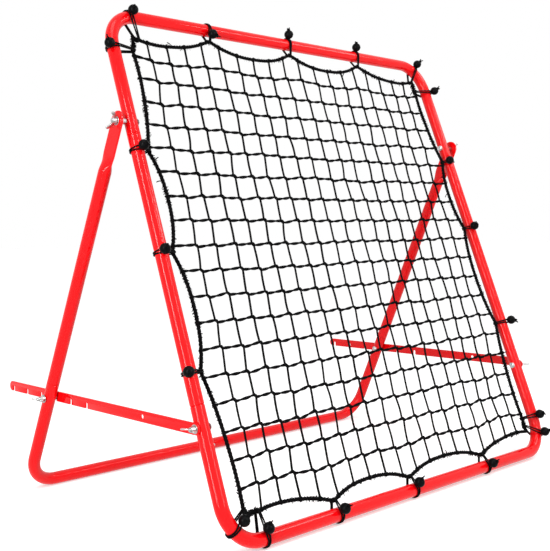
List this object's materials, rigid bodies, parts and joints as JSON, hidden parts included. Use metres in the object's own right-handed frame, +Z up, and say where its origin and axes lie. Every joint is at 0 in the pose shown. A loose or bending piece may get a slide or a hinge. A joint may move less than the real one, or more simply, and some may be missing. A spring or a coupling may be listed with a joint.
{
  "type": "football rebounder",
  "caption": "Leaning square tube frame with a ball net on elastic ball ties, held up by a folding rear stand and notched brace bars.",
  "frame": {"origin": "on the ground, at the middle of the underside of the bounding box", "axes": "+X to the right seen from the front, +Y from the net side towards the rear stand, +Z up"},
  "size_m": [1.1034, 0.7046, 0.9695],
  "materials": {
    "red_paint": "glossy red powder coat on steel tube and bar",
    "zinc": "bright zinc plate",
    "net_twine": "black knotless twine",
    "rope": "black fuzzy border rope",
    "tie": "black plastic ball on black elastic cord"
  },
  "bodies": {
    "frame": {"top_bow": "red_paint", "bottom_bow": "red_paint", "side_tube_left": "red_paint", "side_tube_right": "red_paint", "top_spacer_left": "zinc", "top_spacer_right": "zinc", "net": "net_twine", "border_rope": "rope", "ball_tie_top_1": "tie", "ball_tie_top_2": "tie", "ball_tie_top_3": "tie", "ball_tie_top_4": "tie", "ball_tie_top_5": "tie", "ball_tie_right_1": "tie", "ball_tie_right_2": "tie", "ball_tie_right_3": "tie", "ball_tie_right_4": "tie", "ball_tie_right_5": "tie", "ball_tie_bottom_1": "tie", "ball_tie_bottom_2": "tie", "ball_tie_bottom_3": "tie", "ball_tie_bottom_4": "tie", "ball_tie_bottom_5": "tie", "ball_tie_left_1": "tie", "ball_tie_left_2": "tie", "ball_tie_left_3": "tie", "ball_tie_left_4": "tie", "ball_tie_left_5": "tie"},
    "rear_stand": {"stand_leg_left": "red_paint", "stand_leg_right": "red_paint", "stand_bow_left": "red_paint", "stand_bow_right": "red_paint", "top_pivot_bolt_left": "zinc", "top_pivot_bolt_right": "zinc", "top_washer_left": "zinc", "top_washer_right": "zinc", "stud_bolt_left": "zinc", "stud_bolt_right": "zinc", "stud_washer_left": "zinc", "stud_washer_right": "zinc"},
    "brace_left": {"brace_left": "red_paint", "brace_bolt_left": "zinc", "brace_washer_left": "zinc"},
    "brace_right": {"brace_right": "red_paint", "brace_bolt_right": "zinc", "brace_washer_right": "zinc"},
    "snap_button": {"snap_button": "zinc"},
    "top_wing_nut_left": {"top_wing_nut_left": "zinc"},
    "top_wing_nut_right": {"top_wing_nut_right": "zinc"},
    "brace_wing_nut_left": {"brace_wing_nut_left": "zinc"},
    "brace_wing_nut_right": {"brace_wing_nut_right": "zinc"},
    "stud_wing_nut_left": {"stud_wing_nut_left": "zinc"},
    "stud_wing_nut_right": {"stud_wing_nut_right": "zinc"}
  },
  "joints": [
    {"name": "stand_fold", "type": "hinge", "parent": "frame", "child": "rear_stand", "pos_m": [-0.0018, -0.07123, 0.72487], "axis": [-1, 0, 0], "range_deg": [0, 40]},
    {"name": "brace_left_lift", "type": "hinge", "parent": "frame", "child": "brace_left", "pos_m": [-0.4908, -0.25716, 0.19981], "axis": [1, 0, 0], "range_deg": [0, 52]},
    {"name": "brace_right_lift", "type": "hinge", "parent": "frame", "child": "brace_right", "pos_m": [0.4872, -0.25716, 0.19981], "axis": [1, 0, 0], "range_deg": [0, 52]},
    {"name": "snap_button_press", "type": "slide", "parent": "rear_stand", "child": "snap_button", "axis": [0, 1, 0], "range_m": [0, 0.003], "stiffness_N_per_m": 800, "springref_m": -0.003},
    {"name": "top_wing_nut_left_turn", "type": "hinge", "parent": "rear_stand", "child": "top_wing_nut_left", "pos_m": [-0.4908, -0.07123, 0.72487], "axis": [1, 0, 0], "continuous": true},
    {"name": "top_wing_nut_right_turn", "type": "hinge", "parent": "rear_stand", "child": "top_wing_nut_right", "pos_m": [0.4872, -0.07123, 0.72487], "axis": [1, 0, 0], "continuous": true},
    {"name": "brace_wing_nut_left_turn", "type": "hinge", "parent": "brace_left", "child": "brace_wing_nut_left", "pos_m": [-0.4908, -0.25716, 0.19981], "axis": [1, 0, 0], "continuous": true},
    {"name": "brace_wing_nut_right_turn", "type": "hinge", "parent": "brace_right", "child": "brace_wing_nut_right", "pos_m": [0.4872, -0.25716, 0.19981], "axis": [1, 0, 0], "continuous": true},
    {"name": "stud_wing_nut_left_turn", "type": "hinge", "parent": "rear_stand", "child": "stud_wing_nut_left", "pos_m": [-0.5207, 0.17031, 0.19865], "axis": [1, 0, 0], "continuous": true},
    {"name": "stud_wing_nut_right_turn", "type": "hinge", "parent": "rear_stand", "child": "stud_wing_nut_right", "pos_m": [0.5171, 0.17031, 0.19865], "axis": [1, 0, 0], "continuous": true}
  ],
  "couplings": [
    {"joint": "brace_left_lift", "follows": "stand_fold", "ratio": 1.3},
    {"joint": "brace_right_lift", "follows": "stand_fold", "ratio": 1.3}
  ]
}
